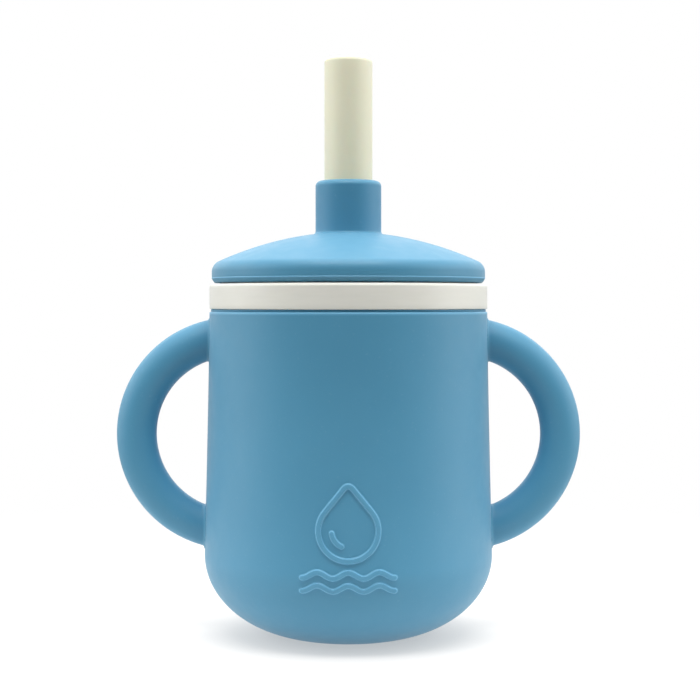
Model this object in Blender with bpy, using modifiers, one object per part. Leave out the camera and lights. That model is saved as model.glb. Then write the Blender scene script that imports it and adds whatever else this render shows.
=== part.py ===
"""Toddler straw cup: soft cup with two loop handles, rigid threaded collar, screw-on domed lid and straw.

Metres, +Z up. The origin is the centre of the foot, the handles lie along X and the relief faces -Y.
The lid turns, rises and comes off along the Z axis, and so does the straw, so every piece keeps its
origin there.
"""

import math

import bmesh
import bpy

MM = 0.001

# Driving dimensions, in millimetres.
RIM_R = 35.0  # outside of the cup at its rim, and of the collar's visible band
BELLY_R = 36.35  # widest radius, just above the rounded bottom corner
BELLY_Z = 20.2
RIM_Z = 82.0
LIP_R = 34.65  # a slim set-back band under the collar, closed below by a small ledge
LIP_Z = 81.1
CORNER_RUN = 27.2  # the bottom corner is a quarter ellipse of this width
CORNER_RISE = 20.8  # and this height, cut flat by the foot
WALL = 3.2
FLOOR_Z = 5.0
GAP = 0.3  # clearance between pieces that rest on each other

HANDLE_R = 5.02  # round handle section
HANDLE_ARC_R = 24.4
HANDLE_X = 29.2
HANDLE_Z = 50.5

BAND_Z0 = RIM_Z + GAP  # the band of the collar that shows between cup and lid
BAND_Z1 = 88.3
SLEEVE_R = 32.4  # the part of the collar that hides inside the mouth of the cup
SLEEVE_Z0 = 73.9
RIB_LEVELS = (79.0, 75.8)  # snap ribs that hold the collar in the cup
RIB_PROUD = 0.5

THREAD_PITCH = 4.0
THREAD_STARTS = 2
THREAD_LEAD = THREAD_PITCH * THREAD_STARTS
COLLAR_BORE_R = 30.8
COLLAR_BEAD_R = 1.0
PLUG_R = 29.3
PLUG_BORE_R = 27.3
PLUG_BEAD_R = 1.2
PLUG_Z0 = 79.0

SEAL_R = 32.3
SEAL_BORE_R = 29.6
SEAL_Z0 = 86.5
SEAL_Z1 = 88.7

FLANGE_R = 32.9
FLANGE_Z0 = SEAL_Z1 + GAP
FLANGE_Z1 = 90.6
UPSTAND_R = 31.2
UPSTAND_BORE_R = 29.2
UPSTAND_Z1 = 92.4
BEAD_Z = 91.6  # snap bead that holds the soft cover on the insert
BEAD_PROUD = 0.5

LID_R = 34.42
LID_Z0 = BAND_Z1 + GAP
HEM_R = 2.5  # the lid's lower edge curls in on this radius
HEM_RISE = 1.8
SHOULDER_R = 3.0
DOME_PEAK = 101.4
DOME_RADIUS = 72.4
COVER_WALL = 2.3
SPOUT_R = 8.3
SPOUT_Z1 = 114.3
SPOUT_BORE_R = 6.38
BOSS_R = 8.6
BOSS_Z0 = 95.0
VENT_R = 0.8
VENT_Y = 20.0

STRAW_R = 6.06
STRAW_BORE_R = 3.6
STRAW_Z0 = 8.0
STRAW_Z1 = 145.2

RELIEF_STROKE_R = 0.75
RELIEF_PROUD = 0.5
DROP_Z = 30.6  # centre of the drop's round belly
DROP_R = 7.0
DROP_POINT = 11.2  # height of the flanks' meeting point above that centre
DROP_TIP_R = 1.3
GLINT_R = 3.9  # the short stroke inside the drop
WAVE_LEVELS = (20.3, 17.2)
WAVE_HALF_LENGTH = 10.8
WAVE_RISE = 0.7
WAVE_COUNT = 3

SEGMENTS = 56
FINE_SEGMENTS = 28


def clear_scene():
    for ob in list(bpy.data.objects):
        bpy.data.objects.remove(ob, do_unlink=True)


def new_collection(name):
    group = bpy.data.collections.new(name)
    bpy.context.scene.collection.children.link(group)
    return group


def new_material(name, colour, roughness):
    mat = bpy.data.materials.new(name)
    mat.use_nodes = True
    shader = mat.node_tree.nodes["Principled BSDF"]
    shader.inputs["Base Color"].default_value = (*colour, 1.0)
    shader.inputs["Roughness"].default_value = roughness
    mat.diffuse_color = (*colour, 1.0)
    return mat


def arc(centre_r, centre_z, run, rise, start_deg, end_deg, steps):
    """Points of an elliptic arc in the profile plane, from start_deg to end_deg."""
    points = []
    for i in range(steps + 1):
        a = math.radians(start_deg + (end_deg - start_deg) * i / steps)
        points.append((centre_r + run * math.cos(a), centre_z + rise * math.sin(a)))
    return points


def ring(radius, level, proud, half_height):
    """A small raised (or, with proud negative, sunk) ring crossed going down a wall."""
    return [
        (radius, level + half_height),
        (radius + proud, level + half_height * 0.45),
        (radius + proud, level - half_height * 0.45),
        (radius, level - half_height),
    ]


def revolve(name, profile, group, segments=SEGMENTS, closed=False):
    """Turns a profile about Z. It starts at the top and runs down its outer side."""
    mesh = bpy.data.meshes.new(name)
    verts = [(r * MM, 0.0, z * MM) for r, z in profile]
    edges = [(i, i + 1) for i in range(len(verts) - 1)]
    if closed:
        edges.append((len(verts) - 1, 0))
    mesh.from_pydata(verts, edges, [])
    ob = bpy.data.objects.new(name, mesh)
    group.objects.link(ob)
    screw = ob.modifiers.new("turn", "SCREW")
    screw.axis = "Z"
    screw.angle = math.tau
    screw.steps = segments
    screw.render_steps = segments
    screw.use_merge_vertices = True
    screw.merge_threshold = 0.00001
    screw.use_smooth_shade = False
    return ob


def to_mesh(ob, group):
    """Swaps a curve or a modified object for a plain mesh of what it evaluates to."""
    bpy.context.view_layer.update()
    graph = bpy.context.evaluated_depsgraph_get()
    mesh = bpy.data.meshes.new_from_object(ob.evaluated_get(graph))
    work = bmesh.new()
    work.from_mesh(mesh)
    bmesh.ops.remove_doubles(work, verts=work.verts, dist=0.000001)
    bmesh.ops.recalc_face_normals(work, faces=work.faces)
    work.to_mesh(mesh)
    work.free()
    solid = bpy.data.objects.new(ob.name, mesh)
    solid.matrix_world = ob.matrix_world.copy()
    name = ob.name
    bpy.data.objects.remove(ob, do_unlink=True)
    solid.name = name
    group.objects.link(solid)
    return solid


def rod(name, points, radius, group, closed=False, taper=0, roundness=2):
    """A round rod along points in millimetres. Its ends thin out over taper points."""
    curve = bpy.data.curves.new(name, "CURVE")
    curve.dimensions = "3D"
    curve.bevel_depth = radius * MM
    curve.bevel_resolution = roundness
    curve.use_fill_caps = True
    curve.resolution_u = 1
    curve.render_resolution_u = 0
    spline = curve.splines.new("POLY")
    spline.points.add(len(points) - 1)
    for i, (x, y, z) in enumerate(points):
        spline.points[i].co = (x * MM, y * MM, z * MM, 1.0)
        ends = min(i, len(points) - 1 - i)
        if ends < taper:
            spline.points[i].radius = 0.3 + 0.7 * ends / taper
    spline.use_cyclic_u = closed
    ob = bpy.data.objects.new(name, curve)
    group.objects.link(ob)
    return to_mesh(ob, group)


def combine(ob, tool, operation):
    tool.hide_render = True
    tool.display_type = "WIRE"
    cut = ob.modifiers.new(tool.name, "BOOLEAN")
    cut.operation = operation
    cut.solver = "EXACT"
    cut.object = tool


def finish(ob, mat, sharp_deg=35.0):
    ob.data.materials.clear()
    ob.data.materials.append(mat)
    ob.color = mat.diffuse_color
    split = ob.modifiers.new("triangles", "TRIANGULATE")
    split.min_vertices = 5
    if ob.data.polygons:
        ob.data.shade_smooth()
        ob.data.set_sharp_from_angle(angle=math.radians(sharp_deg))


# The cup.


def wall_radius(z):
    """Outer radius of the cup at a height: the corner ellipse, then a slight inward taper."""
    if z < BELLY_Z:
        lift = min(1.0, (BELLY_Z - z) / CORNER_RISE)
        return BELLY_R - CORNER_RUN * (1.0 - math.sqrt(1.0 - lift * lift))
    t = (z - BELLY_Z) / (RIM_Z - BELLY_Z)
    return RIM_R + (BELLY_R - RIM_R) * (1.0 - min(1.0, t)) ** 1.25


def cup_outside():
    rim_round = 0.3
    points = [(0.0, RIM_Z), (LIP_R - rim_round, RIM_Z), (LIP_R, RIM_Z - rim_round)]
    points += [(LIP_R, LIP_Z + RIM_R - LIP_R)]
    steps = 6
    for i in range(steps + 1):
        z = LIP_Z + (BELLY_Z - LIP_Z) * i / steps
        points.append((wall_radius(z), z))
    foot_deg = math.degrees(math.asin(BELLY_Z / CORNER_RISE))
    corner = arc(BELLY_R - CORNER_RUN, BELLY_Z, CORNER_RUN, CORNER_RISE, 0, -foot_deg, 8)
    points += corner[1:-1]
    points += [(corner[-1][0], 0.0), (0.0, 0.0)]
    return points


def cup_inside():
    bore = SLEEVE_R + GAP
    points = [(0.0, RIM_Z + 2.0), (bore, RIM_Z + 2.0)]
    for level in RIB_LEVELS:
        points += ring(bore, level, RIB_PROUD + 0.1, 0.85)
    shelf = SLEEVE_Z0 - GAP
    points += [(bore, shelf)]
    steps = 5
    for i in range(steps + 1):
        z = shelf + (BELLY_Z - shelf) * i / steps
        points.append((wall_radius(z) - WALL, z))
    rise = CORNER_RISE - FLOOR_Z
    floor_deg = math.degrees(math.asin((BELLY_Z - FLOOR_Z) / rise))
    corner = arc(BELLY_R - CORNER_RUN, BELLY_Z, CORNER_RUN - WALL, rise, 0, -floor_deg, 7)
    points += corner[1:-1]
    points += [(corner[-1][0], FLOOR_Z), (0.0, FLOOR_Z)]
    return points


def handle_path(side):
    """Half a turn and a little more, with both ends well inside the wall."""
    steps = 22
    reach = 84.0
    points = []
    for i in range(steps + 1):
        a = math.radians(-reach + 2.0 * reach * i / steps)
        x = HANDLE_X + HANDLE_ARC_R * math.cos(a)
        points.append((side * x, 0.0, HANDLE_Z + HANDLE_ARC_R * math.sin(a)))
    return points


def on_front(x, z):
    """The point of the cup's front at x and z where a relief stroke's centre lies."""
    radius = wall_radius(z) + RELIEF_PROUD - RELIEF_STROKE_R
    return (x, -math.sqrt(radius * radius - x * x), z)


def drop_path():
    """A closed drop: a round belly whose two flanks meet in a rounded point on top."""
    half_point = math.asin(DROP_R / DROP_POINT)
    turn = math.degrees(math.pi / 2.0 - half_point)
    tip_z = DROP_Z + DROP_POINT - DROP_TIP_R / math.sin(half_point)
    outline = arc(0.0, tip_z, DROP_TIP_R, DROP_TIP_R, 90.0 + turn, 90.0 - turn, 4)
    outline += arc(0.0, DROP_Z, DROP_R, DROP_R, 90.0 - turn, turn - 270.0, 16)
    points = []
    for i, (x, z) in enumerate(outline):
        next_x, next_z = outline[(i + 1) % len(outline)]
        pieces = 1 + int(math.hypot(next_x - x, next_z - z) / 3.0)
        for k in range(pieces):
            points.append(on_front(x + (next_x - x) * k / pieces, z + (next_z - z) * k / pieces))
    return points


def glint_path():
    return [on_front(x, z) for x, z in arc(0.0, DROP_Z, GLINT_R, GLINT_R, 188, 246, 6)]


def wave_path(level):
    steps = 8 * WAVE_COUNT
    points = []
    for i in range(steps + 1):
        t = -1.0 + 2.0 * i / steps
        rise = WAVE_RISE * math.cos(t * WAVE_COUNT * math.pi)
        points.append(on_front(WAVE_HALF_LENGTH * t, level + rise))
    return points


def build_cup(parts, cutters, mat):
    cup = revolve("cup_body", cup_outside(), parts)
    for side, name in ((-1, "handle_left"), (1, "handle_right")):
        combine(cup, rod(name, handle_path(side), HANDLE_R, cutters, roundness=6), "UNION")
    combine(cup, revolve("cup_hollow", cup_inside(), cutters), "DIFFERENCE")
    drop = rod("relief_drop", drop_path(), RELIEF_STROKE_R, cutters, closed=True)
    combine(cup, drop, "UNION")
    glint = rod("relief_glint", glint_path(), RELIEF_STROKE_R, cutters, taper=2)
    combine(cup, glint, "UNION")
    for i, level in enumerate(WAVE_LEVELS):
        wave = rod(f"relief_wave_{i}", wave_path(level), RELIEF_STROKE_R, cutters, taper=2)
        combine(cup, wave, "UNION")
    finish(cup, mat)


# The rigid collar in the mouth of the cup.


def thread_path(radius, z_low, z_high, start_angle):
    """A right-hand helix from z_low to z_high."""
    turns = (z_high - z_low) / THREAD_LEAD
    steps = max(8, round(turns * 40))
    points = []
    for i in range(steps + 1):
        a = start_angle + math.tau * turns * i / steps
        z = z_low + (z_high - z_low) * i / steps
        points.append((radius * math.cos(a), radius * math.sin(a), z))
    return points


def add_thread(ob, name, radius, bead, z_low, z_high, phase, cutters):
    """One rounded thread per start, all on the helices of one lead."""
    for start in range(THREAD_STARTS):
        turn = math.tau * (z_low / THREAD_LEAD + phase + start / THREAD_STARTS)
        path = thread_path(radius, z_low, z_high, turn)
        tool = rod(f"{name}_{start}", path, bead, cutters, taper=4)
        combine(ob, tool, "UNION")


def collar_profile():
    round_r = 0.8
    points = arc(RIM_R - round_r, BAND_Z1 - round_r, round_r, round_r, 90, 0, 3)
    points += [(RIM_R, BAND_Z0 + 0.3), (RIM_R - 0.3, BAND_Z0), (SLEEVE_R, BAND_Z0)]
    for level in RIB_LEVELS:
        points += ring(SLEEVE_R, level, RIB_PROUD, 0.5)
    lead_in = 0.4
    points += [
        (SLEEVE_R, SLEEVE_Z0 + lead_in),
        (SLEEVE_R - lead_in, SLEEVE_Z0),
        (COLLAR_BORE_R + lead_in, SLEEVE_Z0),
        (COLLAR_BORE_R, SLEEVE_Z0 + lead_in),
        (COLLAR_BORE_R, SEAL_Z0 - GAP),
        (SEAL_R + GAP, SEAL_Z0 - GAP),
        (SEAL_R + GAP, BAND_Z1),
    ]
    return points


def build_collar(parts, cutters, mat):
    collar = revolve("threaded_collar", collar_profile(), parts, closed=True)
    low = PLUG_Z0 + 1.0
    high = SEAL_Z0 - GAP - COLLAR_BEAD_R - 0.1
    add_thread(collar, "collar_thread", COLLAR_BORE_R, COLLAR_BEAD_R, low, high, 0.0, cutters)
    finish(collar, mat)


# The lid: seal, rigid threaded insert and soft cover.


def seal_profile():
    soft = 0.4
    return [
        (SEAL_R - soft, SEAL_Z1),
        (SEAL_R, SEAL_Z1 - soft),
        (SEAL_R, SEAL_Z0 + soft),
        (SEAL_R - soft, SEAL_Z0),
        (SEAL_BORE_R, SEAL_Z0),
        (SEAL_BORE_R, SEAL_Z1),
    ]


def build_seal(parts, mat):
    finish(revolve("lid_seal_ring", seal_profile(), parts, closed=True), mat)


def insert_profile():
    tip = 0.5
    points = [(UPSTAND_R, UPSTAND_Z1)]
    points += ring(UPSTAND_R, BEAD_Z, BEAD_PROUD, 0.5)
    points += [
        (UPSTAND_R, FLANGE_Z1),
        (FLANGE_R, FLANGE_Z1),
        (FLANGE_R, FLANGE_Z0),
        (PLUG_R, FLANGE_Z0),
        (PLUG_R, PLUG_Z0 + tip),
        (PLUG_R - tip, PLUG_Z0),
        (PLUG_BORE_R + tip, PLUG_Z0),
        (PLUG_BORE_R, PLUG_Z0 + tip),
        (PLUG_BORE_R, FLANGE_Z1 - tip),
        (PLUG_BORE_R + tip, FLANGE_Z1),
        (UPSTAND_BORE_R, FLANGE_Z1),
        (UPSTAND_BORE_R, UPSTAND_Z1),
    ]
    return points


def build_insert(parts, cutters, mat):
    insert = revolve("lid_thread_insert", insert_profile(), parts, closed=True)
    low = PLUG_Z0 + PLUG_BEAD_R + 0.2
    high = SEAL_Z0 - PLUG_BEAD_R - 0.4
    half_turn = 0.5 / THREAD_STARTS
    add_thread(insert, "insert_thread", PLUG_R, PLUG_BEAD_R, low, high, half_turn, cutters)
    finish(insert, mat)


def dome_z(r, drop=0.0):
    return DOME_PEAK - drop - r * r / (2.0 * (DOME_RADIUS - drop))


def brow():
    """Where the dome turns into the shoulder: radius, and slope in radians."""
    r = LID_R
    for _ in range(6):
        slope = math.atan2(r, DOME_RADIUS)
        r = LID_R - SHOULDER_R * (1.0 - math.sin(slope))
    return r, slope


def cover_profile():
    fillet = 0.8
    top_round = 1.4
    points = arc(SPOUT_R - top_round, SPOUT_Z1 - top_round, top_round, top_round, 90, 0, 3)
    foot_r = SPOUT_R + fillet
    points += arc(foot_r, dome_z(foot_r) + fillet, fillet, fillet, 180, 270, 3)
    edge, slope = brow()
    steps = 6
    for i in range(1, steps):
        r = foot_r + (edge - foot_r) * i / steps
        points.append((r, dome_z(r)))
    shoulder_z = dome_z(edge) - SHOULDER_R * math.cos(slope)
    start = 90.0 - math.degrees(slope)
    points += arc(LID_R - SHOULDER_R, shoulder_z, SHOULDER_R, SHOULDER_R, start, 0, 4)
    hem_deg = math.degrees(math.asin(HEM_RISE / HEM_R))
    points += arc(LID_R - HEM_R, LID_Z0 + HEM_RISE, HEM_R, HEM_R, 0, -hem_deg, 3)
    points += [(FLANGE_R + GAP, LID_Z0)]
    inner = UPSTAND_R + GAP
    points += [(FLANGE_R + GAP, FLANGE_Z1 + GAP), (inner, FLANGE_Z1 + GAP)]
    points += reversed(ring(inner, BEAD_Z, BEAD_PROUD, 0.6)[:-1])
    points += [(inner, UPSTAND_Z1 + GAP)]
    inner_foot = BOSS_R + 1.5
    for i in range(steps + 1):
        r = inner - 1.2 + (inner_foot - inner + 1.2) * i / steps
        points.append((r, dome_z(r, COVER_WALL)))
    points += [(BOSS_R, dome_z(inner_foot, COVER_WALL) - 1.2), (BOSS_R, BOSS_Z0)]
    points += [(SPOUT_BORE_R + 0.4, BOSS_Z0), (SPOUT_BORE_R, BOSS_Z0 + 0.4)]
    for level in (98.0, 111.0):
        points += reversed(ring(SPOUT_BORE_R, level, -0.15, 0.8))
    points += [(SPOUT_BORE_R, SPOUT_Z1 - 0.3), (SPOUT_BORE_R + 0.3, SPOUT_Z1)]
    return points


def build_cover(parts, cutters, mat):
    cover = revolve("lid_cover", cover_profile(), parts, closed=True)
    vent = rod("vent", [(0.0, VENT_Y, 90.0), (0.0, VENT_Y, 105.0)], VENT_R, cutters)
    combine(cover, vent, "DIFFERENCE")
    finish(cover, mat)


# The straw.


def straw_profile():
    outer = 1.3
    inner = 0.8
    lip = arc(STRAW_R - outer, STRAW_Z1 - outer, outer, outer, 90, 0, 4)
    foot = [(STRAW_R, STRAW_Z0 + 0.4), (STRAW_R - 0.4, STRAW_Z0), (STRAW_BORE_R, STRAW_Z0)]
    mouth = arc(STRAW_BORE_R + inner, STRAW_Z1 - inner, inner, inner, 180, 90, 2)
    return lip + foot + mouth


def build_straw(parts, cutters, mat):
    straw = revolve("straw", straw_profile(), parts, FINE_SEGMENTS, closed=True)
    reach = STRAW_R + 3.0
    notch = rod("foot_notch", [(0.0, -reach, STRAW_Z0), (0.0, reach, STRAW_Z0)], 2.0, cutters)
    combine(straw, notch, "DIFFERENCE")
    finish(straw, mat)


clear_scene()
cup_parts = new_collection("straw_cup")
cutting_tools = new_collection("cutters")
silicone_blue = new_material("silicone_blue", (0.10, 0.28, 0.42), 0.55)
silicone_cream = new_material("silicone_cream", (0.62, 0.60, 0.47), 0.5)
plastic_cream = new_material("plastic_cream", (0.66, 0.68, 0.60), 0.35)
silicone_clear = new_material("silicone_clear", (0.75, 0.76, 0.74), 0.45)
build_cup(cup_parts, cutting_tools, silicone_blue)
build_collar(cup_parts, cutting_tools, plastic_cream)
build_seal(cup_parts, silicone_clear)
build_insert(cup_parts, cutting_tools, plastic_cream)
build_cover(cup_parts, cutting_tools, silicone_blue)
build_straw(cup_parts, cutting_tools, silicone_cream)
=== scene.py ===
"""Looks of the toddler straw cup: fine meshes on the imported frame, procedural materials and a studio.

Lengths named below are in millimetres; the scene is in metres, with +Z up and the relief facing -Y.
"""

import math

import bpy
import numpy as np
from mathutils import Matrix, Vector


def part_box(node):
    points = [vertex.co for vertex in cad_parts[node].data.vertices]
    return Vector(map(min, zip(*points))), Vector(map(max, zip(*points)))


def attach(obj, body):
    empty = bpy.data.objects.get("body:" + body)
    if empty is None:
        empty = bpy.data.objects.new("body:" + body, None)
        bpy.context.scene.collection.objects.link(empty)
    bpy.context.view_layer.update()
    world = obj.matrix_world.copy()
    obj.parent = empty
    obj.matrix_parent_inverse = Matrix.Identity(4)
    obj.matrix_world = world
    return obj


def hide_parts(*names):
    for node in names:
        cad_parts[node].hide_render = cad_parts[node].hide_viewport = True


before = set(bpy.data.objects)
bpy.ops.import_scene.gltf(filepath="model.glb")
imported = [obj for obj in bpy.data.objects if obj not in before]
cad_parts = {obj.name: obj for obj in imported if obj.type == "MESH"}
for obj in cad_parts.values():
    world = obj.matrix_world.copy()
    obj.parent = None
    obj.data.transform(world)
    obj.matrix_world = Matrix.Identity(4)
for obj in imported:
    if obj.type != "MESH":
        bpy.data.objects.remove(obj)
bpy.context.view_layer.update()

MM = 0.001


def top_of(node):
    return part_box(node)[1].z / MM


def bottom_of(node):
    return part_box(node)[0].z / MM


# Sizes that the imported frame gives.
RIM_Z = top_of("cup_body")
BAND_Z1 = top_of("threaded_collar")
RIM_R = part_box("threaded_collar")[1].x / MM
SLEEVE_Z0 = bottom_of("threaded_collar")
SEAL_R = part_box("lid_seal_ring")[1].x / MM
SEAL_Z0 = bottom_of("lid_seal_ring")
SEAL_Z1 = top_of("lid_seal_ring")
FLANGE_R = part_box("lid_thread_insert")[1].x / MM
PLUG_Z0 = bottom_of("lid_thread_insert")
UPSTAND_Z1 = top_of("lid_thread_insert")
LID_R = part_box("lid_cover")[1].x / MM
LID_Z0 = bottom_of("lid_cover")
SPOUT_Z1 = top_of("lid_cover")
STRAW_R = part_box("straw")[1].x / MM
STRAW_Z0 = bottom_of("straw")
STRAW_Z1 = top_of("straw")

# Sizes inside the pieces, as in the part's source.
GAP = 0.3
BELLY_R = 36.35
BELLY_Z = 20.2
CORNER_RUN = 27.2
CORNER_RISE = 20.8
WALL = 3.2
FLOOR_Z = 5.0
LIP_R = 34.65
LIP_Z = 81.1
HANDLE_R = 5.02
HANDLE_ARC_R = 24.4
HANDLE_X = 29.2
HANDLE_Z = 50.5
SLEEVE_R = 32.4
RIB_LEVELS = (79.0, 75.8)
RIB_PROUD = 0.5
COLLAR_BORE_R = 30.8
COLLAR_BEAD_R = 1.0
PLUG_R = 29.3
PLUG_BORE_R = 27.3
PLUG_BEAD_R = 1.2
THREAD_STARTS = 2
THREAD_LEAD = 8.0
SEAL_BORE_R = 29.6
FLANGE_Z1 = 90.6
UPSTAND_R = 31.2
UPSTAND_BORE_R = 29.2
HEM_R = 2.5
HEM_RISE = 1.8
SHOULDER_R = 3.0
DOME_PEAK = 101.4
DOME_RADIUS = 72.4
COVER_WALL = 2.3
SPOUT_R = 8.3
BOSS_R = 8.6
BOSS_Z0 = 95.0
VENT_R = 0.8
VENT_Y = 20.0
STRAW_BORE_R = 3.6

# Rounds, ledges and gaps as the fine meshes have them.
SEATED_GAP = 0.04
LIP_ROUND = 0.3
LIP_UNDERCUT = 0.12
LEDGE_ROUND = 0.17
TAPER_POWER = 1.25
HANDLE_FILLET = 0.7
BAND_EDGE = 0.8
SEAL_ROUND = 0.5
SNAP_Z = 91.6
SNAP_PROUD = 0.5
MOULD_LINE_RISE = 1.35
MOULD_LINE_PROUD = 0.2
MOULD_LINE_FADE = 0.45
SPOUT_BORE_R = 6.3
SPOUT_LIP = 1.4
SPOUT_FILLET = 0.8
BOSS_FILLET = 1.5
GRIP_LEVELS = (98.0, 111.0)
GRIP_DEPTH = 0.12
VENT_CUT_Z = (90.0, 105.0)
STRAW_LIP = 1.3
NOTCH_R = 2.0

# The raised drop and waves on the front.
DROP_Z = 30.6
DROP_R = 7.0
DROP_POINT = 11.2
DROP_TIP_R = 1.3
GLINT_R = 3.9
WAVE_LEVELS = (20.3, 17.2)
WAVE_HALF_LENGTH = 10.8
WAVE_RISE = 0.7
WAVE_COUNT = 3
STROKE_HALF = 0.62
STROKE_EDGE = 0.34
RELIEF_PROUD = 0.47
RELIEF_PATCH_X = 11.9
RELIEF_PATCH_Z = (15.4, 42.1)
RELIEF_STEP = 0.155

# Steps round the turned pieces.
CUP_BACK_STEPS = 136
RING_STEPS = 180
COVER_STEPS = 220
STRAW_STEPS = 96

# Painted highlight: how far marked edges and ledges go paler, standing in for light caught on them, and
# the attribute that carries it to the material.
EDGE_HIGHLIGHT_STRENGTH = 0.5
EDGE_HIGHLIGHT_ATTRIBUTE = "painted_edge_highlight"

# Noise scales of the materials, in cycles per metre.
CLOUDS = 38.0
STRAW_CLOUDS = 60.0
SEAL_CLOUDS = 80.0
DUST = 1500.0
SATIN = 260.0
WAVINESS = 90.0
SILICONE_GRAIN = 5200.0
FLOW_LINES = 140.0
PLASTIC_SATIN = 600.0
PLASTIC_GRAIN = 4200.0

# Light and colour of the studio, in metres, watts and degrees.
CAMERA_PLACE = (0.0004, -0.419, 0.0838)
CAMERA_DOWN_DEG = 1.66
CAMERA_LENS = 85.2
LIGHTS_AIM = (0.0, 0.0, 0.07)
FLOOR_HALF = 4.0
FLOOR_Z_M = -0.0001
FLOOR_COLOUR = (0.36, 0.348, 0.336)
# Floor emission: lower close under the object as a painted contact shadow, higher further out.
FLOOR_GLOW_PAINTED_SHADOW = 0.45
FLOOR_GLOW = 0.65
WORLD_RISE = 2.2
WORLD_BACK = 0.95
WORLD_FRONT = 0.1


# Mesh tools.


def arc(centre_r, centre_z, run, rise, start_deg, end_deg, steps):
    """Points of an elliptic arc in the profile plane."""
    a = np.radians(np.linspace(start_deg, end_deg, steps + 1))
    return list(zip(centre_r + run * np.cos(a), centre_z + rise * np.sin(a)))


def ridge(radius, level, proud, half_height, steps=8):
    """A small rounded ring across a wall, crossed going down. It is sunk where proud is negative."""
    t = np.linspace(-1.0, 1.0, steps + 1)
    lift = proud * np.cos(t * math.pi / 2.0) ** 0.8
    return list(zip(radius + lift, level - half_height * t))


def new_object(name, verts, faces):
    mesh = bpy.data.meshes.new(name)
    mesh.from_pydata([tuple(v) for v in np.asarray(verts) * MM], [], faces)
    mesh.update()
    ob = bpy.data.objects.new(name, mesh)
    bpy.context.scene.collection.objects.link(ob)
    return ob


def lathe(name, profile, angles, lift=None):
    """Turns a profile about Z. It runs down the outer side. Ends on the axis become poles.

    lift(x, y, z) gives how far each point moves out along the profile's normal.
    """
    pts = np.array(profile, float)
    poles = pts[0, 0] < 1e-6
    body = pts[1:-1] if poles else pts
    n, m = len(body), len(angles)
    r = np.repeat(body[:, 0][:, None], m, axis=1)
    z = np.repeat(body[:, 1][:, None], m, axis=1)
    if lift is not None:
        step = np.gradient(body, axis=0)
        normal = np.stack([-step[:, 1], step[:, 0]], axis=1)
        normal /= np.linalg.norm(normal, axis=1)[:, None]
        away = lift(r * np.cos(angles), r * np.sin(angles), z)
        r = r + away * normal[:, 0][:, None]
        z = z + away * normal[:, 1][:, None]
    verts = np.stack([r * np.cos(angles), r * np.sin(angles), z], axis=2).reshape(-1, 3)
    faces = []
    rows = n - 1 if poles else n
    for i in range(rows):
        k = (i + 1) % n
        for j in range(m):
            q = (j + 1) % m
            faces.append((i * m + j, k * m + j, k * m + q, i * m + q))
    if poles:
        verts = np.vstack([verts, [0.0, 0.0, pts[0, 1]], [0.0, 0.0, pts[-1, 1]]])
        first, last = n * m, n * m + 1
        for j in range(m):
            q = (j + 1) % m
            faces.append((first, j, q))
            faces.append((last, (n - 1) * m + q, (n - 1) * m + j))
    return new_object(name, verts, faces)


def tube(name, centres, radii, sides, grow=None):
    """A round closed tube along centres. grow(points) adds to the radius point by point."""
    c = np.array(centres, float)
    ahead = np.gradient(c, axis=0)
    ahead /= np.linalg.norm(ahead, axis=1)[:, None]
    across = np.cross(ahead, np.broadcast_to([0.0, 0.0, 1.0], ahead.shape))
    flat = np.linalg.norm(across, axis=1) < 1e-3
    across[flat] = [0.0, 1.0, 0.0]
    across /= np.linalg.norm(across, axis=1)[:, None]
    for i in range(1, len(across)):
        if np.dot(across[i], across[i - 1]) < 0.0:
            across[i] = -across[i]
    up = np.cross(across, ahead)
    a = np.linspace(0.0, math.tau, sides, endpoint=False)
    ring = across[:, None, :] * np.cos(a)[None, :, None] + up[:, None, :] * np.sin(a)[None, :, None]
    radii = np.broadcast_to(np.asarray(radii, float), (len(c),))[:, None]
    points = c[:, None, :] + ring * radii[:, :, None]
    if grow is not None:
        points = points + ring * grow(points)[:, :, None]
    n = len(c)
    faces = []
    for i in range(n - 1):
        for j in range(sides):
            q = (j + 1) % sides
            faces.append((i * sides + j, i * sides + q, (i + 1) * sides + q, (i + 1) * sides + j))
    faces.append(tuple(range(sides - 1, -1, -1)))
    faces.append(tuple((n - 1) * sides + j for j in range(sides)))
    ob = new_object(name, points.reshape(-1, 3), faces)
    return outward(ob)


def outward(ob):
    """Turns the faces outward where the mesh encloses a negative volume."""
    mesh = ob.data
    mesh.calc_loop_triangles()
    co = np.zeros(len(mesh.vertices) * 3)
    mesh.vertices.foreach_get("co", co)
    co = co.reshape(-1, 3)
    tri = np.zeros(len(mesh.loop_triangles) * 3, int)
    mesh.loop_triangles.foreach_get("vertices", tri)
    a, b, c = (co[tri.reshape(-1, 3)[:, k]] for k in range(3))
    if np.einsum("ij,ij->i", a, np.cross(b, c)).sum() < 0.0:
        mesh.flip_normals()
    return ob


def combine(ob, tools, operation):
    """Joins or cuts ob with each tool and keeps the result as its mesh."""
    for tool in tools:
        cut = ob.modifiers.new("cut", "BOOLEAN")
        cut.operation = operation
        cut.solver = "EXACT"
        cut.object = tool
    bpy.context.view_layer.update()
    graph = bpy.context.evaluated_depsgraph_get()
    mesh = bpy.data.meshes.new_from_object(ob.evaluated_get(graph))
    ob.modifiers.clear()
    ob.data = mesh
    for tool in tools:
        bpy.data.objects.remove(tool, do_unlink=True)
    return ob


def smooth(ob, sharp_deg):
    ob.data.shade_smooth()
    ob.data.set_sharp_from_angle(angle=math.radians(sharp_deg))


def even_angles(count):
    return np.linspace(0.0, math.tau, count, endpoint=False)


def front_angles():
    """Fine steps across the relief, which faces -Y, and coarser ones round the rest."""
    half = math.asin(RELIEF_PATCH_X / BELLY_R)
    fine = np.linspace(-half, half, round(2.0 * RELIEF_PATCH_X / RELIEF_STEP) + 1)
    coarse = np.linspace(half, math.tau - half, CUP_BACK_STEPS)[1:-1]
    return np.concatenate([fine, coarse]) - math.pi / 2.0


# The cup.


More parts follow.
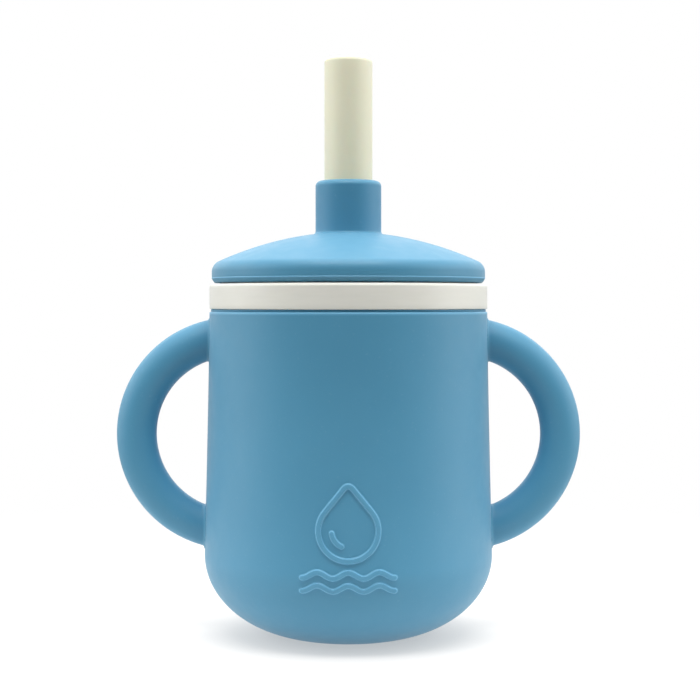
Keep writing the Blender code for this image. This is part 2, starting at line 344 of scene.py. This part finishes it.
def wall_radius(z):
    """Outer radius of the cup at a height: the corner ellipse, then a slight inward taper."""
    z = np.asarray(z, float)
    lift = np.clip((BELLY_Z - z) / CORNER_RISE, 0.0, 1.0)
    corner = BELLY_R - CORNER_RUN * (1.0 - np.sqrt(1.0 - lift * lift))
    t = np.clip((z - BELLY_Z) / (RIM_Z - BELLY_Z), 0.0, 1.0)
    return np.where(z < BELLY_Z, corner, RIM_R + (BELLY_R - RIM_R) * (1.0 - t) ** TAPER_POWER)


def cup_profile():
    """From the middle of the floor, up inside, over the rim and down outside to the foot."""
    rise = CORNER_RISE - FLOOR_Z
    floor_deg = math.degrees(math.asin((BELLY_Z - FLOOR_Z) / rise))
    inner = arc(BELLY_R - CORNER_RUN, BELLY_Z, CORNER_RUN - WALL, rise, -floor_deg, 0, 20)
    bore = SLEEVE_R + GAP
    shelf = SLEEVE_Z0 - GAP
    points = [(0.0, FLOOR_Z)]
    points += [(inner[0][0] * f, FLOOR_Z) for f in (0.35, 0.7, 0.95)]
    points += inner
    for z in np.linspace(BELLY_Z, shelf, 16)[1:]:
        points.append((float(wall_radius(z)) - WALL, z))
    points.append((bore, shelf))
    for level in sorted(RIB_LEVELS):
        points += reversed(ridge(bore, level, RIB_PROUD + 0.1, 0.85))
    points += [(bore, RIM_Z - 0.2), (bore + 0.2, RIM_Z), (33.6, RIM_Z)]
    points += arc(LIP_R - LIP_ROUND, RIM_Z - LIP_ROUND, LIP_ROUND, LIP_ROUND, 90, 0, 6)
    points += [
        (LIP_R - LIP_UNDERCUT / 2.0, RIM_Z - 0.45),
        (LIP_R - LIP_UNDERCUT, LIP_Z + 0.42),
        (RIM_R - 0.1, LIP_Z + 0.11),
    ]
    points += arc(RIM_R - LEDGE_ROUND, LIP_Z + 0.02, LEDGE_ROUND, LEDGE_ROUND, 45, 0, 4)
    low, high = RELIEF_PATCH_Z
    for z in np.linspace(LIP_Z - 0.5, high, 22):
        points.append((float(wall_radius(z)), z))
    for z in np.linspace(high, low, round((high - low) / RELIEF_STEP) + 1)[1:]:
        points.append((float(wall_radius(z)), z))
    start = math.degrees(math.asin((BELLY_Z - low) / CORNER_RISE))
    foot = math.degrees(math.asin(BELLY_Z / CORNER_RISE))
    points += arc(BELLY_R - CORNER_RUN, BELLY_Z, CORNER_RUN, CORNER_RISE, -start, -foot, 26)[1:]
    points += [(points[-1][0] * f, 0.0) for f in (0.97, 0.66, 0.33)]
    points.append((0.0, 0.0))
    return points


def relief_strokes():
    """The strokes' centre lines in the x, z plane: a drop with a glint inside it, above two waves."""
    half_point = math.asin(DROP_R / DROP_POINT)
    turn = math.degrees(math.pi / 2.0 - half_point)
    tip_z = DROP_Z + DROP_POINT - DROP_TIP_R / math.sin(half_point)
    drop = arc(0.0, tip_z, DROP_TIP_R, DROP_TIP_R, 90.0 + turn, 90.0 - turn, 12)
    drop += arc(0.0, DROP_Z, DROP_R, DROP_R, 90.0 - turn, turn - 270.0, 48)
    drop.append(drop[0])
    strokes = [drop, arc(0.0, DROP_Z, GLINT_R, GLINT_R, 188.0, 246.0, 14)]
    for level in WAVE_LEVELS:
        t = np.linspace(-1.0, 1.0, 24 * WAVE_COUNT + 1)
        rise = WAVE_RISE * np.cos(t * WAVE_COUNT * math.pi)
        strokes.append(list(zip(WAVE_HALF_LENGTH * t, level + rise)))
    return [np.array(s, float) for s in strokes]


def stroke_share(x, y, z):
    """How far each point is up a stroke's shoulder: 0 off the relief, 1 on a stroke's flat top."""
    low, high = RELIEF_PATCH_Z
    on_patch = (y < 0.0) & (abs(x) < RELIEF_PATCH_X) & (z > low) & (z < high)
    on_patch &= np.hypot(x, y) > wall_radius(z) - 0.5
    px, pz = x[on_patch], z[on_patch]
    near = np.full(px.shape, 1e9)
    for line in relief_strokes():
        for (ax, az), (bx, bz) in zip(line[:-1], line[1:]):
            dx, dz = bx - ax, bz - az
            t = np.clip(((px - ax) * dx + (pz - az) * dz) / (dx * dx + dz * dz), 0.0, 1.0)
            near = np.minimum(near, np.hypot(px - ax - t * dx, pz - az - t * dz))
    share = np.zeros(x.shape)
    share[on_patch] = np.clip((STROKE_HALF + STROKE_EDGE / 2.0 - near) / STROKE_EDGE, 0.0, 1.0)
    return share


def relief_lift(x, y, z):
    """Height of the relief: flat-topped strokes with rounded shoulders on the front of the cup."""
    t = stroke_share(x, y, z)
    return RELIEF_PROUD * t * t * (3.0 - 2.0 * t)


def mark_painted_highlights(ob, measure):
    """Keeps measure(x, y, z), 1 where an edge gets a painted highlight, as an attribute that the
    silicone reads.
    """
    co = np.zeros(len(ob.data.vertices) * 3)
    ob.data.vertices.foreach_get("co", co)
    x, y, z = co.reshape(-1, 3).T / MM
    layer = ob.data.attributes.new(EDGE_HIGHLIGHT_ATTRIBUTE, "FLOAT", "POINT")
    layer.data.foreach_set("value", measure(x, y, z).astype(np.float32))
    return ob


def cup_painted_highlights(x, y, z):
    """Painted highlight on the relief's shoulders and on the ledge under the collar."""
    share = stroke_share(x, y, z)
    ledge = (np.hypot(x, y) > LIP_R) & (abs(z - LIP_Z - 0.1) < 0.16)
    return np.maximum(np.clip(6.0 * share**2 * (1.04 - share), 0.0, 1.0), ledge)


def handle(side):
    """A loop of round section that widens into the wall with a small fillet."""
    ends = np.arange(70.0, 82.01, 0.5)
    middle = np.linspace(-70.0, 70.0, 80)[1:-1]
    a = np.radians(np.concatenate([-ends[::-1], middle, ends]))
    x = HANDLE_X + HANDLE_ARC_R * np.cos(a)
    centres = np.stack([side * x, 0.0 * a, HANDLE_Z + HANDLE_ARC_R * np.sin(a)], axis=1)

    def fillet(p):
        reach = np.sqrt(np.maximum(wall_radius(p[..., 2]) ** 2 - p[..., 1] ** 2, 0.0))
        d = np.clip(abs(p[..., 0]) - reach, 0.0, HANDLE_FILLET)
        return HANDLE_FILLET - np.sqrt(HANDLE_FILLET**2 - (HANDLE_FILLET - d) ** 2)

    return tube("handle", centres, HANDLE_R, 56, fillet)


def build_cup():
    cup = lathe("cup_moulding", cup_profile(), front_angles(), relief_lift)
    return mark_painted_highlights(combine(cup, [handle(-1), handle(1)], "UNION"), cup_painted_highlights)


# The threaded pieces.


def thread_path(radius, z_low, z_high, start_angle):
    turns = (z_high - z_low) / THREAD_LEAD
    a = start_angle + np.linspace(0.0, math.tau * turns, round(turns * 90) + 1)
    z = np.linspace(z_low, z_high, len(a))
    return np.stack([radius * np.cos(a), radius * np.sin(a), z], axis=1)


def thread_tools(radius, bead, z_low, z_high, phase):
    """The rounded threads of every start, thinning out at both ends."""
    tools = []
    for start in range(THREAD_STARTS):
        turn = math.tau * (z_low / THREAD_LEAD + phase + start / THREAD_STARTS)
        path = thread_path(radius, z_low, z_high, turn)
        ends = np.minimum(np.arange(len(path)), np.arange(len(path))[::-1])
        radii = bead * np.clip(0.3 + 0.7 * ends / 9.0, 0.3, 1.0)
        tools.append(tube("thread", path, radii, 20))
    return tools


def collar_profile():
    """From the top of the visible band, down its outside and the sleeve, and up the bore."""
    points = arc(RIM_R - BAND_EDGE, BAND_Z1 - BAND_EDGE, BAND_EDGE, BAND_EDGE, 90, 0, 8)
    foot = RIM_Z + SEATED_GAP
    points += [(RIM_R, z) for z in np.linspace(BAND_Z1 - BAND_EDGE, foot + 0.3, 6)[1:]]
    points += arc(RIM_R - 0.3, foot + 0.3, 0.3, 0.3, 0, -90, 3)[1:]
    points += [(SLEEVE_R, foot)]
    for level in RIB_LEVELS:
        points += ridge(SLEEVE_R, level, RIB_PROUD, 0.5)
    points += [
        (SLEEVE_R, SLEEVE_Z0 + 0.4),
        (SLEEVE_R - 0.4, SLEEVE_Z0),
        (COLLAR_BORE_R + 0.4, SLEEVE_Z0),
        (COLLAR_BORE_R, SLEEVE_Z0 + 0.4),
        (COLLAR_BORE_R, SEAL_Z0 - GAP),
        (SEAL_R + GAP, SEAL_Z0 - GAP),
        (SEAL_R + GAP, BAND_Z1 - 0.15),
        (SEAL_R + GAP + 0.15, BAND_Z1),
    ]
    return points


def build_collar():
    collar = lathe("collar_moulding", collar_profile(), even_angles(RING_STEPS))
    low = PLUG_Z0 + 1.0
    high = SEAL_Z0 - GAP - COLLAR_BEAD_R - 0.1
    return combine(collar, thread_tools(COLLAR_BORE_R, COLLAR_BEAD_R, low, high, 0.0), "UNION")


def build_seal():
    soft = SEAL_ROUND
    points = arc(SEAL_R - soft, SEAL_Z1 - soft, soft, soft, 90, 0, 6)
    points += arc(SEAL_R - soft, SEAL_Z0 + soft, soft, soft, 0, -90, 6)
    points += arc(SEAL_BORE_R + soft, SEAL_Z0 + soft, soft, soft, 270, 180, 6)
    points += arc(SEAL_BORE_R + soft, SEAL_Z1 - soft, soft, soft, 180, 90, 6)
    return lathe("seal_moulding", points, even_angles(RING_STEPS))


def insert_profile():
    """From the upstand, down over the flange and the plug, and up the bore."""
    tip = 0.5
    flange_z0 = SEAL_Z1 + GAP
    points = [(UPSTAND_R - 0.2, UPSTAND_Z1), (UPSTAND_R, UPSTAND_Z1 - 0.1)]
    points += ridge(UPSTAND_R, SNAP_Z, SNAP_PROUD, 0.5)
    points += [
        (UPSTAND_R, FLANGE_Z1),
        (FLANGE_R - 0.2, FLANGE_Z1),
        (FLANGE_R, FLANGE_Z1 - 0.2),
        (FLANGE_R, flange_z0 + 0.2),
        (FLANGE_R - 0.2, flange_z0),
        (PLUG_R, flange_z0),
        (PLUG_R, PLUG_Z0 + tip),
        (PLUG_R - tip, PLUG_Z0),
        (PLUG_BORE_R + tip, PLUG_Z0),
        (PLUG_BORE_R, PLUG_Z0 + tip),
        (PLUG_BORE_R, FLANGE_Z1 - tip),
        (PLUG_BORE_R + tip, FLANGE_Z1),
        (UPSTAND_BORE_R, FLANGE_Z1),
        (UPSTAND_BORE_R, UPSTAND_Z1 - 0.1),
        (UPSTAND_BORE_R + 0.2, UPSTAND_Z1),
    ]
    return points


def build_insert():
    insert = lathe("insert_moulding", insert_profile(), even_angles(RING_STEPS))
    low = PLUG_Z0 + PLUG_BEAD_R + 0.2
    high = SEAL_Z0 - PLUG_BEAD_R - 0.4
    phase = 0.5 / THREAD_STARTS
    return combine(insert, thread_tools(PLUG_R, PLUG_BEAD_R, low, high, phase), "UNION")


# The soft cover and the straw.


def dome_z(r, drop=0.0):
    return DOME_PEAK - drop - r * r / (2.0 * (DOME_RADIUS - drop))


def brow():
    """Where the dome turns into the shoulder: radius, and slope in radians."""
    r = LID_R
    for _ in range(6):
        slope = math.atan2(r, DOME_RADIUS)
        r = LID_R - SHOULDER_R * (1.0 - math.sin(slope))
    return r, slope


def hem_profile():
    """The lid's lower edge: a mould line that stands out as a small ledge, then a curl inwards."""
    end_deg = math.degrees(math.asin(HEM_RISE / HEM_R))
    level = LID_Z0 + MOULD_LINE_RISE
    points = []
    for r, z in arc(LID_R - HEM_R, LID_Z0 + HEM_RISE, HEM_R, HEM_R, 0, -end_deg, 36):
        below = max(0.0, level - z)
        step = min(1.0, below / MOULD_LINE_PROUD)
        points.append((r + MOULD_LINE_PROUD * step * math.exp(-below / MOULD_LINE_FADE), z))
    return points


def cover_profile():
    """From the spout's lip down the outside, round the hem and up inside to the spout's bore."""
    points = arc(SPOUT_R - SPOUT_LIP, SPOUT_Z1 - SPOUT_LIP, SPOUT_LIP, SPOUT_LIP, 90, 0, 12)
    foot_r = SPOUT_R + SPOUT_FILLET
    foot_z = dome_z(foot_r) + SPOUT_FILLET
    points += [(SPOUT_R, z) for z in np.linspace(SPOUT_Z1 - SPOUT_LIP, foot_z, 10)[1:-1]]
    points += arc(foot_r, foot_z, SPOUT_FILLET, SPOUT_FILLET, 180, 264, 8)
    edge_r, slope = brow()
    for r in np.linspace(foot_r, edge_r, 30)[1:-1]:
        points.append((r, dome_z(r)))
    shoulder_z = dome_z(edge_r) - SHOULDER_R * math.cos(slope)
    start = 90.0 - math.degrees(slope)
    points += arc(LID_R - SHOULDER_R, shoulder_z, SHOULDER_R, SHOULDER_R, start, 0, 16)
    points += hem_profile()
    points += [(FLANGE_R + GAP + 0.1, LID_Z0), (FLANGE_R + GAP, LID_Z0 + 0.1)]
    inner = UPSTAND_R + GAP
    points += [(FLANGE_R + GAP, FLANGE_Z1 + GAP), (inner, FLANGE_Z1 + GAP)]
    points += reversed(ridge(inner, SNAP_Z, SNAP_PROUD, 0.6)[:-1])
    points += [(inner, UPSTAND_Z1 + GAP)]
    inner_foot = BOSS_R + BOSS_FILLET
    for r in np.linspace(inner - 1.2, inner_foot, 14):
        points.append((r, dome_z(r, COVER_WALL)))
    inner_foot_z = dome_z(inner_foot, COVER_WALL) - BOSS_FILLET
    points += arc(inner_foot, inner_foot_z, BOSS_FILLET, BOSS_FILLET, 95, 180, 5)
    points += [(BOSS_R, BOSS_Z0 + 0.3), (BOSS_R - 0.3, BOSS_Z0)]
    points += [(SPOUT_BORE_R + 0.4, BOSS_Z0), (SPOUT_BORE_R, BOSS_Z0 + 0.4)]
    for level in GRIP_LEVELS:
        points += reversed(ridge(SPOUT_BORE_R, level, -GRIP_DEPTH, 0.8))
    points += arc(SPOUT_BORE_R + 0.4, SPOUT_Z1 - 0.4, 0.4, 0.4, 180, 90, 4)
    return points


def cover_painted_highlights(x, y, z):
    """Painted highlight on the mould line round the lid."""
    below = LID_Z0 + MOULD_LINE_RISE - z
    return ((np.hypot(x, y) > LID_R - 0.5) & (below > 0.02) & (below < 0.32)).astype(float)


def build_cover():
    cover = lathe("cover_moulding", cover_profile(), even_angles(COVER_STEPS))
    vent = tube("vent", [(0.0, VENT_Y, z) for z in VENT_CUT_Z], VENT_R, 32)
    return mark_painted_highlights(combine(cover, [vent], "DIFFERENCE"), cover_painted_highlights)


def build_straw():
    inner = 0.8
    points = arc(STRAW_R - STRAW_LIP, STRAW_Z1 - STRAW_LIP, STRAW_LIP, STRAW_LIP, 90, 0, 12)
    points += [(STRAW_R, z) for z in np.linspace(STRAW_Z1 - STRAW_LIP, STRAW_Z0 + 0.4, 40)[1:]]
    points += [(STRAW_R - 0.4, STRAW_Z0), (STRAW_BORE_R + 0.2, STRAW_Z0)]
    points += [(STRAW_BORE_R, STRAW_Z0 + 0.2)]
    points += arc(STRAW_BORE_R + inner, STRAW_Z1 - inner, inner, inner, 180, 90, 8)
    straw = lathe("straw_moulding", points, even_angles(STRAW_STEPS))
    reach = STRAW_R + 3.0
    notch = tube("notch", [(0.0, -reach, STRAW_Z0), (0.0, reach, STRAW_Z0)], NOTCH_R, 40)
    return combine(straw, [notch], "DIFFERENCE")


# Materials.


def map_range(tree, value, start, end, low, high, curve="LINEAR"):
    """A Map Range node from start..end to low..high on value; gives its result socket."""
    node = tree.nodes.new("ShaderNodeMapRange")
    node.interpolation_type = curve
    node.inputs["From Min"].default_value = start
    node.inputs["From Max"].default_value = end
    node.inputs["To Min"].default_value = low
    node.inputs["To Max"].default_value = high
    tree.links.new(value, node.inputs["Value"])
    return node.outputs["Result"]


class Shade:
    """One Principled material with its node tree at hand."""

    def __init__(self, name, roughness):
        self.mat = bpy.data.materials.new(name)
        self.mat.use_nodes = True
        self.tree = self.mat.node_tree
        self.shader = self.tree.nodes["Principled BSDF"]
        self.set("Roughness", roughness)
        self.coords = self.tree.nodes.new("ShaderNodeTexCoord")

    def set(self, socket, value):
        self.shader.inputs[socket].default_value = value

    def link(self, a, b):
        self.tree.links.new(a, b)

    def noise(self, scale, detail=3.0, stretch=(1.0, 1.0, 1.0)):
        place = self.tree.nodes.new("ShaderNodeMapping")
        place.inputs["Scale"].default_value = stretch
        self.link(self.coords.outputs["Object"], place.inputs["Vector"])
        node = self.tree.nodes.new("ShaderNodeTexNoise")
        node.inputs["Scale"].default_value = scale
        node.inputs["Detail"].default_value = detail
        self.link(place.outputs["Vector"], node.inputs["Vector"])
        return node.outputs["Fac"]

    def spread(self, value, low, high, start=0.3, end=0.7):
        return map_range(self.tree, value, start, end, low, high)

    def mix(self, factor, colour_a, colour_b):
        node = self.tree.nodes.new("ShaderNodeMix")
        node.data_type = "RGBA"
        self.link(factor, node.inputs[0])
        for socket, colour in ((node.inputs[6], colour_a), (node.inputs[7], colour_b)):
            if isinstance(colour, tuple):
                socket.default_value = (*colour, 1.0)
            else:
                self.link(colour, socket)
        return node.outputs[2]

    def bump(self, layers):
        """Adds bump from (height, distance in mm, strength) layers, one on another."""
        normal = None
        for height, distance, strength in layers:
            node = self.tree.nodes.new("ShaderNodeBump")
            node.inputs["Distance"].default_value = distance * MM
            node.inputs["Strength"].default_value = strength
            self.link(height, node.inputs["Height"])
            if normal is not None:
                self.link(normal, node.inputs["Normal"])
            normal = node.outputs["Normal"]
        self.link(normal, self.shader.inputs["Normal"])


def silicone(name, light, dark, roughness, cloud=CLOUDS):
    """Moulded silicone: soft clouds of colour, sparse pale dust, a painted highlight on marked edges
    and a fine matte grain.
    """
    s = Shade(name, roughness)
    clouds = s.spread(s.noise(cloud, 4.0), 0.0, 1.0)
    colour = s.mix(clouds, dark, light)
    specks = s.spread(s.noise(DUST, 2.0), 0.0, 0.05, 0.66, 0.74)
    pale = tuple(min(1.0, 0.35 + c * 0.8) for c in light)
    colour = s.mix(specks, colour, pale)
    # Painted highlight: the colour goes paler where the edge attribute marks an edge that would catch
    # the light.
    edge = s.tree.nodes.new("ShaderNodeAttribute")
    edge.attribute_name = EDGE_HIGHLIGHT_ATTRIBUTE
    highlight_colour = tuple(min(1.0, 0.1 + c * 1.6) for c in light)
    colour = s.mix(s.spread(edge.outputs["Fac"], 0.0, EDGE_HIGHLIGHT_STRENGTH, 0.0, 1.0), colour, highlight_colour)
    s.link(colour, s.shader.inputs["Base Color"])
    rough = s.spread(s.noise(SATIN, 4.0), roughness - 0.05, roughness + 0.06)
    s.link(rough, s.shader.inputs["Roughness"])
    s.bump([(s.noise(WAVINESS, 2.0), 0.05, 0.25), (s.noise(SILICONE_GRAIN, 3.0), 0.012, 0.35)])
    s.set("IOR", 1.41)
    s.set("Subsurface Weight", 0.12)
    s.set("Subsurface Radius", (0.6, 0.9, 1.2))
    s.set("Subsurface Scale", MM)
    s.set("Sheen Weight", 0.12)
    s.set("Sheen Roughness", 0.4)
    s.set("Specular IOR Level", 0.55)
    return s


def polypropylene(name, light, dark):
    """Injection-moulded plastic: satin, with faint flow lines round the ring and a fine texture."""
    s = Shade(name, 0.38)
    flow = s.noise(FLOW_LINES, 3.0, (1.0, 1.0, 6.0))
    s.link(s.mix(s.spread(flow, 0.0, 1.0), dark, light), s.shader.inputs["Base Color"])
    s.link(s.spread(s.noise(PLASTIC_SATIN, 3.0), 0.33, 0.46), s.shader.inputs["Roughness"])
    s.bump([(flow, 0.03, 0.2), (s.noise(PLASTIC_GRAIN, 2.0), 0.01, 0.25)])
    s.set("IOR", 1.49)
    s.set("Subsurface Weight", 0.15)
    s.set("Subsurface Radius", (1.0, 0.9, 0.7))
    s.set("Subsurface Scale", MM)
    return s


def build_materials():
    blue = silicone("blue_silicone", (0.082, 0.295, 0.457), (0.076, 0.28, 0.437), 0.48)
    cream = silicone("cream_silicone", (0.87, 0.85, 0.65), (0.845, 0.825, 0.625), 0.5, STRAW_CLOUDS)
    cream.set("Subsurface Weight", 0.25)
    milky = silicone("milky_silicone", (0.74, 0.76, 0.75), (0.68, 0.70, 0.69), 0.42, SEAL_CLOUDS)
    milky.set("Subsurface Weight", 0.35)
    plastic = polypropylene("cream_plastic", (0.80, 0.80, 0.735), (0.775, 0.775, 0.71))
    return {
        "silicone_blue": blue.mat,
        "silicone_cream": cream.mat,
        "silicone_clear": milky.mat,
        "plastic_cream": plastic.mat,
    }


# The studio.


def build_floor():
    """A white table top that fades into the plain white backdrop away from the object."""
    mesh = bpy.data.meshes.new("floor")
    corners = [(-1.0, -1.0), (1.0, -1.0), (1.0, 1.0), (-1.0, 1.0)]
    verts = [(x * FLOOR_HALF, y * FLOOR_HALF, FLOOR_Z_M) for x, y in corners]
    mesh.from_pydata(verts, [], [(0, 1, 2, 3)])
    floor = bpy.data.objects.new("floor", mesh)
    bpy.context.scene.collection.objects.link(floor)
    mat = bpy.data.materials.new("white_floor")
    mat.use_nodes = True
    tree = mat.node_tree
    shader = tree.nodes["Principled BSDF"]
    shader.inputs["Base Color"].default_value = (*FLOOR_COLOUR, 1.0)
    shader.inputs["Roughness"].default_value = 0.9
    shader.inputs["Specular IOR Level"].default_value = 0.1
    shader.inputs["Emission Color"].default_value = (1.0, 1.0, 1.0, 1.0)
    far = tree.nodes.new("ShaderNodeBsdfTransparent")
    coords = tree.nodes.new("ShaderNodeTexCoord")
    length = tree.nodes.new("ShaderNodeVectorMath")
    length.operation = "LENGTH"
    tree.links.new(coords.outputs["Object"], length.inputs[0])

    def fade(start, end, low, high):
        return map_range(tree, length.outputs["Value"], start, end, low, high, "SMOOTHSTEP")

    # Painted contact shadow: the floor's emission is lower close under the object.
    glow_with_painted_shadow = fade(0.014, 0.05, FLOOR_GLOW_PAINTED_SHADOW, FLOOR_GLOW)
    tree.links.new(glow_with_painted_shadow, shader.inputs["Emission Strength"])
    mix = tree.nodes.new("ShaderNodeMixShader")
    tree.links.new(fade(0.09, 0.28, 0.0, 1.0), mix.inputs["Fac"])
    tree.links.new(shader.outputs["BSDF"], mix.inputs[1])
    tree.links.new(far.outputs["BSDF"], mix.inputs[2])
    tree.links.new(mix.outputs["Shader"], tree.nodes["Material Output"].inputs["Surface"])
    mesh.materials.append(mat)


def build_world():
    """A white studio: brighter above and behind than in front, and plain white behind the object."""
    world = bpy.data.worlds.new("studio")
    bpy.context.scene.world = world
    world.use_nodes = True
    tree = world.node_tree
    tree.nodes.clear()
    coords = tree.nodes.new("ShaderNodeTexCoord")
    split = tree.nodes.new("ShaderNodeSeparateXYZ")
    tree.links.new(coords.outputs["Generated"], split.inputs["Vector"])

    def ramp(axis, start, end, low, high):
        return map_range(tree, split.outputs[axis], start, end, low, high, "SMOOTHSTEP")

    def product(a, b):
        node = tree.nodes.new("ShaderNodeMath")
        node.operation = "MULTIPLY"
        tree.links.new(a, node.inputs[0])
        tree.links.new(b, node.inputs[1])
        return node.outputs["Value"]

    depth = ramp("Y", -1.0, 1.0, WORLD_FRONT, WORLD_BACK)
    height = ramp("Z", 0.0, 0.4, 1.0, WORLD_RISE)
    above = ramp("Z", -0.25, 0.0, 0.0, 1.0)
    strength = product(product(depth, height), above)
    lit = tree.nodes.new("ShaderNodeBackground")
    tree.links.new(strength, lit.inputs["Strength"])
    seen = tree.nodes.new("ShaderNodeBackground")
    seen.inputs["Color"].default_value = (1.0, 1.0, 1.0, 1.0)
    path = tree.nodes.new("ShaderNodeLightPath")
    mix = tree.nodes.new("ShaderNodeMixShader")
    tree.links.new(path.outputs["Is Camera Ray"], mix.inputs["Fac"])
    tree.links.new(lit.outputs["Background"], mix.inputs[1])
    tree.links.new(seen.outputs["Background"], mix.inputs[2])
    out = tree.nodes.new("ShaderNodeOutputWorld")
    tree.links.new(mix.outputs["Shader"], out.inputs["Surface"])


def softbox(name, place, aim, width, height, power):
    lamp = bpy.data.lights.new(name, "AREA")
    lamp.shape = "RECTANGLE"
    lamp.size = width
    lamp.size_y = height
    lamp.energy = power
    ob = bpy.data.objects.new(name, lamp)
    bpy.context.scene.collection.objects.link(ob)
    ob.location = place
    ob.rotation_euler = (Vector(aim) - Vector(place)).to_track_quat("-Z", "Y").to_euler()


def build_lights():
    softbox("overhead", (0.0, 0.15, 0.95), LIGHTS_AIM, 0.8, 0.5, 2.5)
    softbox("front_top", (0.0, -0.35, 0.88), LIGHTS_AIM, 0.8, 0.25, 6.0)
    softbox("left_side", (-0.85, 0.0, 0.3), LIGHTS_AIM, 0.7, 0.9, 3.0)
    softbox("right_side", (0.85, 0.0, 0.3), LIGHTS_AIM, 0.7, 0.9, 3.2)


def build_camera():
    lens = bpy.data.cameras.new("camera")
    lens.sensor_width = 36.0
    lens.lens = CAMERA_LENS
    lens.clip_start = 0.01
    camera = bpy.data.objects.new("camera", lens)
    bpy.context.scene.collection.objects.link(camera)
    camera.location = CAMERA_PLACE
    camera.rotation_euler = (math.radians(90.0 - CAMERA_DOWN_DEG), 0.0, 0.0)
    bpy.context.scene.camera = camera


# Each fine piece: its maker, the node it stands for, its body, its slot and the sharpest smooth edge.
PIECES = (
    (build_cup, "cup_body", "cup", "silicone_blue", 50.0),
    (build_collar, "threaded_collar", "cup", "plastic_cream", 35.0),
    (build_seal, "lid_seal_ring", "seal", "silicone_clear", 50.0),
    (build_insert, "lid_thread_insert", "lid", "plastic_cream", 35.0),
    (build_cover, "lid_cover", "lid", "silicone_blue", 40.0),
    (build_straw, "straw", "straw_tube", "silicone_cream", 40.0),
)

materials = build_materials()
for make, node, body, slot, sharp_deg in PIECES:
    piece = make()
    smooth(piece, sharp_deg)
    piece.data.materials.clear()
    piece.data.materials.append(materials[slot])
    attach(piece, body)
    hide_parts(node)
build_floor()
build_world()
build_lights()
build_camera()
view = bpy.context.scene.view_settings
view.view_transform = "Standard"
